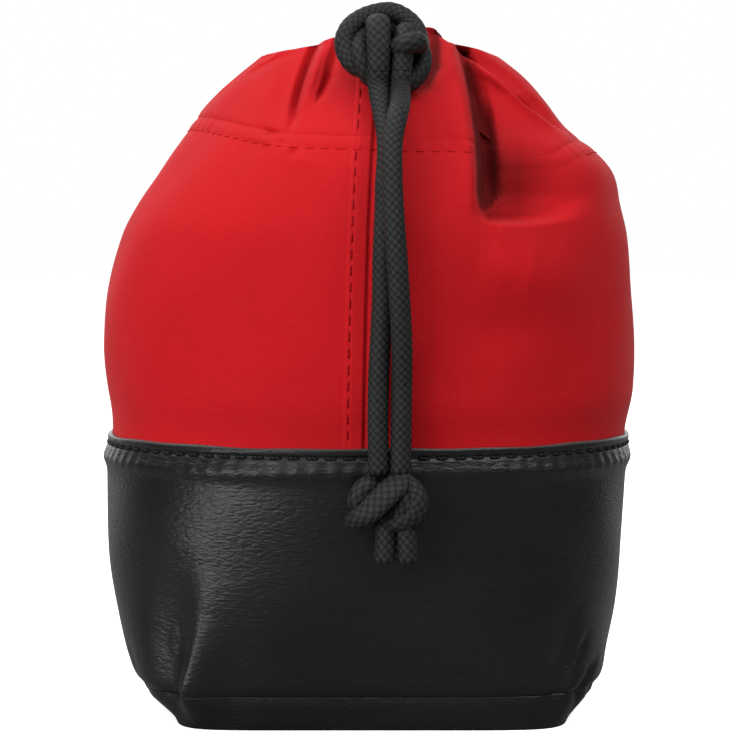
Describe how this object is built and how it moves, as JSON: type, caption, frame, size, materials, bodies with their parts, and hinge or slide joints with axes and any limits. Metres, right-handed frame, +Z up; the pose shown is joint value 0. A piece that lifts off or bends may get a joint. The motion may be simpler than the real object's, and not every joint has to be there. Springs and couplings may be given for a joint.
{
  "type": "drawstring lens pouch",
  "caption": "Padded pouch with a leather base and a gathered canvas upper, closed at the mouth by a cord tied in front, whose tails hang down to a second knot.",
  "frame": {"origin": "on the floor under the middle of the pouch, at its base", "axes": "+Z up through the mouth, -Y towards the front with the knots and cord tails, +X to the right in the front view"},
  "size_m": [0.1054, 0.1109, 0.1361],
  "materials": {
    "leather": "black grained leather, satin",
    "canvas": "red woven canvas, matt",
    "cord": "black braided cord, slightly glossy",
    "black_thread": "black sewing thread",
    "red_thread": "dark red sewing thread",
    "foam": "closed-cell foam sheet",
    "lining": "brushed soft lining, matt",
    "board": "stiff sheet, matt"
  },
  "bodies": {
    "pouch": {"leather_bottom": "leather", "leather_wall": "leather", "canvas_wall": "canvas", "mouth_channel": "canvas", "bottom_board": "board", "bottom_padding": "foam", "wall_padding": "foam", "lining_bottom": "lining", "lining_wall": "lining", "leather_edge_thread": "black_thread", "hem_thread": "red_thread", "seam_thread": "red_thread", "channel_cord": "cord"},
    "knot": {"mouth_knot": "cord"},
    "tails": {"cord_tail_left": "cord", "cord_tail_right": "cord", "tail_knot": "cord", "cord_end_left": "cord", "cord_end_right": "cord"}
  },
  "joints": [
    {"name": "knot_sway", "type": "hinge", "parent": "pouch", "child": "knot", "pos_m": [0.0036, -0.03, 0.1273], "axis": [0, 1, 0], "range_deg": [-20, 20]},
    {"name": "tails_lift", "type": "hinge", "parent": "knot", "child": "tails", "pos_m": [0.00395, -0.0373, 0.1193], "axis": [-1, 0, 0], "range_deg": [0, 90]}
  ]
}
